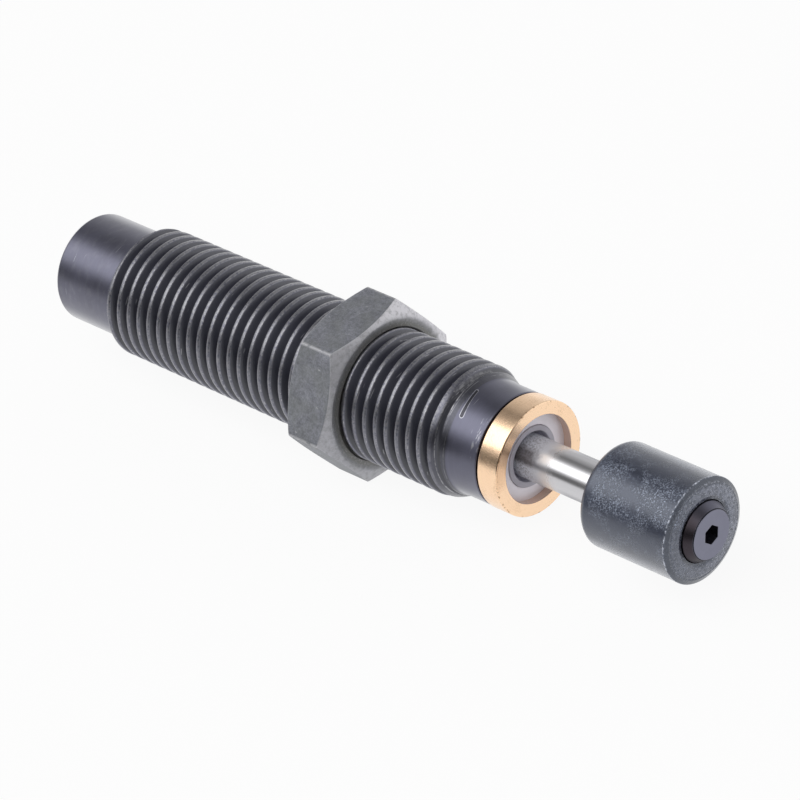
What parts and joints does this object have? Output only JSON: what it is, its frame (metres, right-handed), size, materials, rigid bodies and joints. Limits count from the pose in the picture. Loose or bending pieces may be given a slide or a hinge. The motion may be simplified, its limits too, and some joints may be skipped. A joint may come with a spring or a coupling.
{
  "type": "industrial shock absorber",
  "caption": "Threaded-body hydraulic shock absorber with a locking nut, stop collar, spring-returned rod and a rubber-capped strike button.",
  "frame": {"origin": "on the rod's axis, in the front face of the stop collar", "axes": "+X along the rod out to the bumper, +Z square to one flat of the lock nut, +Y to the left seen from the rear"},
  "size_m": [0.0867, 0.0196, 0.017],
  "materials": {
    "black_oxide_steel": "satin black oxide with a blue-grey sheen, worn thread crests",
    "nut_steel": "dark mottled satin steel, bright worn corners",
    "gold_collar": "turned peach-gold metal, darker worn patches",
    "disc_steel": "light satin steel",
    "wiper_rubber": "mid-grey moulded elastomer",
    "washer_steel": "plain turned steel",
    "seal_rubber": "red-brown moulded elastomer",
    "bearing_bronze": "turned bronze",
    "o_ring_rubber": "black moulded elastomer",
    "foam": "closed-cell foam",
    "tube_steel": "ground steel tube",
    "cap_steel": "turned steel",
    "spring_steel": "drawn spring wire",
    "hard_chrome": "hard chrome, fine axial lines",
    "piston_steel": "turned steel",
    "check_ring_iron": "ground iron ring",
    "bumper_rubber": "dark blue-grey moulded rubber, speckled",
    "button_steel": "dark turned steel, smooth face",
    "ball_steel": "polished ball",
    "plug_steel": "black oxide"
  },
  "bodies": {
    "cylinder": {"outer_body": "black_oxide_steel", "stop_collar": "gold_collar", "retaining_disc": "disc_steel", "rod_wiper": "wiper_rubber", "seal_washer": "washer_steel", "rod_seal": "seal_rubber", "rod_bearing": "bearing_bronze", "bearing_o_ring": "o_ring_rubber", "foam_accumulator": "foam", "pressure_tube": "tube_steel", "tube_end_cap": "cap_steel", "return_spring": "spring_steel", "fill_ball": "ball_steel", "fill_plug": "plug_steel"},
    "plunger": {"piston_rod": "hard_chrome", "piston_shoulder": "piston_steel", "piston_head": "piston_steel", "bumper": "bumper_rubber", "strike_button": "button_steel"},
    "locking_nut": {"lock_nut": "nut_steel"},
    "ring_valve": {"check_ring": "check_ring_iron"}
  },
  "joints": [
    {"name": "rod_slide", "type": "slide", "parent": "cylinder", "child": "plunger", "axis": [1, 0, 0], "range_m": [-0.01, 0], "stiffness_N_per_m": 550, "springref_m": 0.008, "deforming": ["return_spring"]},
    {"name": "nut_travel", "type": "slide", "parent": "cylinder", "child": "locking_nut", "axis": [1, 0, 0], "range_m": [-0.027, 0.012]},
    {"name": "check_ring_float", "type": "slide", "parent": "plunger", "child": "ring_valve", "axis": [1, 0, 0], "range_m": [0, 0.0006]}
  ]
}
